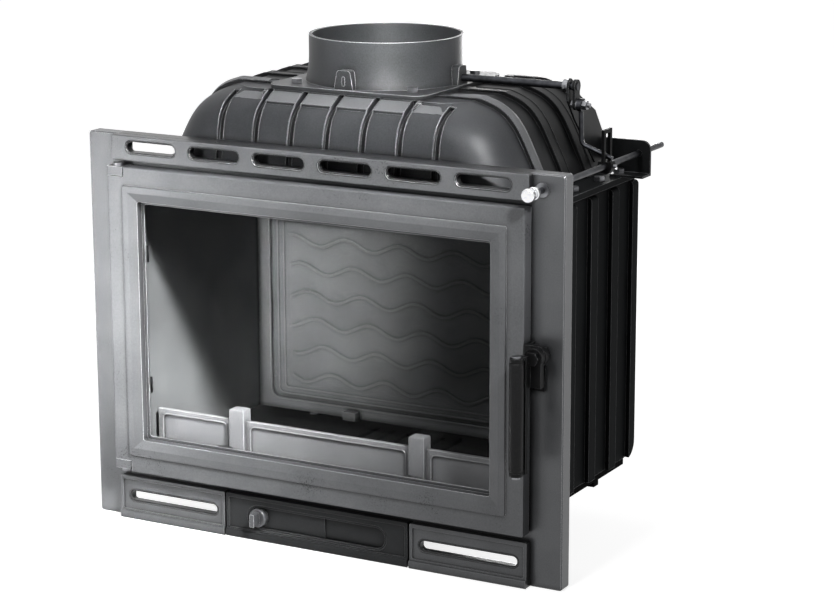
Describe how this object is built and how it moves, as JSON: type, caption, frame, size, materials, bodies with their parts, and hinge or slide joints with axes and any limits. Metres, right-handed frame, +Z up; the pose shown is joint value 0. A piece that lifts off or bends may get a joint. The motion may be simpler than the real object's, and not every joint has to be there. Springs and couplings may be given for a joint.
{
  "type": "fireplace insert",
  "caption": "Cast-iron fireplace insert with a glazed hinged door, lift latch, air slide, ash drawer, ribbed firebox with domed top and a round flue collar with a pull-rod damper.",
  "frame": {"origin": "middle of the face plate's lower front edge, on the surface the insert stands on", "axes": "+X to the right seen from the room, +Y from the room into the chimney breast, +Z up the flue"},
  "size_m": [0.7, 0.4197, 0.6565],
  "materials": {
    "cast_iron": "satin heat-resistant paint",
    "steel": "dull turned steel",
    "black_steel": "black heat-resistant paint",
    "grip": "satin black",
    "chrome": "bright",
    "glass": "clear",
    "rope": "woven glass-fibre"
  },
  "bodies": {
    "insert": {"front_frame": "cast_iron", "top_grille": "cast_iron", "lower_panel_left": "cast_iron", "lower_panel_right": "cast_iron", "hinge_lugs": "cast_iron", "hinge_pins": "steel", "latch_keeper": "black_steel", "flue_collar": "cast_iron", "collar_bolts": "steel", "rod_bush": "steel", "damper_stay": "black_steel", "stay_bolt": "steel", "side_wall_left": "cast_iron", "side_wall_right": "cast_iron", "back_wall": "cast_iron", "firebox_base": "cast_iron", "firebox_dome": "cast_iron", "top_flange": "cast_iron", "flange_bolts": "steel", "side_lining_left": "cast_iron", "side_lining_right": "cast_iron", "fireback": "cast_iron", "fireback_lugs": "cast_iron", "baffle_plate": "cast_iron", "grate": "cast_iron", "log_fender": "cast_iron", "fender_posts": "cast_iron", "ash_box": "black_steel", "levelling_feet": "steel", "foot_nuts": "steel"},
    "door": {"door_frame": "cast_iron", "glass_tape": "rope", "door_glass": "glass", "glass_clips": "black_steel", "clip_screws": "steel", "door_seal": "rope", "latch_bracket": "black_steel", "bracket_screws": "steel"},
    "latch": {"latch_lever": "black_steel", "handle_grip": "grip", "grip_rod": "steel", "latch_bolt": "steel", "latch_cam": "black_steel", "latch_nut": "steel"},
    "damper": {"damper_blade": "cast_iron", "damper_shaft": "steel", "shaft_collar": "steel", "damper_crank": "black_steel", "lever_bolt": "steel", "damper_lever": "steel"},
    "damper_control": {"control_rod": "steel", "control_knob": "chrome", "rod_driver": "steel", "driver_screw": "steel"},
    "ash_drawer": {"drawer_front": "cast_iron", "air_guide": "black_steel", "ash_pan": "black_steel"},
    "air_slide": {"air_plate": "black_steel", "air_knob": "cast_iron", "air_rivet": "steel"}
  },
  "joints": [
    {"name": "door_hinge", "type": "hinge", "parent": "insert", "child": "door", "pos_m": [-0.2935, -0.0145, 0.27], "axis": [0, 0, -1], "range_deg": [0, 95]},
    {"name": "latch_turn", "type": "hinge", "parent": "door", "child": "latch", "pos_m": [0.3235, -0.02, 0.305], "axis": [0, -1, 0], "range_deg": [0, 38]},
    {"name": "damper_pull", "type": "slide", "parent": "insert", "child": "damper_control", "axis": [0, -1, 0], "range_m": [0, 0.06]},
    {"name": "damper_turn", "type": "hinge", "parent": "insert", "child": "damper", "pos_m": [0, 0.184, 0.605], "axis": [-1, 0, 0], "range_deg": [0, 43]},
    {"name": "drawer_slide", "type": "slide", "parent": "insert", "child": "ash_drawer", "axis": [0, -1, 0], "range_m": [0, 0.2]},
    {"name": "air_slide", "type": "slide", "parent": "ash_drawer", "child": "air_slide", "axis": [1, 0, 0], "range_m": [0, 0.117]}
  ],
  "couplings": [
    {"joint": "damper_turn", "follows": "damper_pull", "rad_per_m": 12.5}
  ]
}
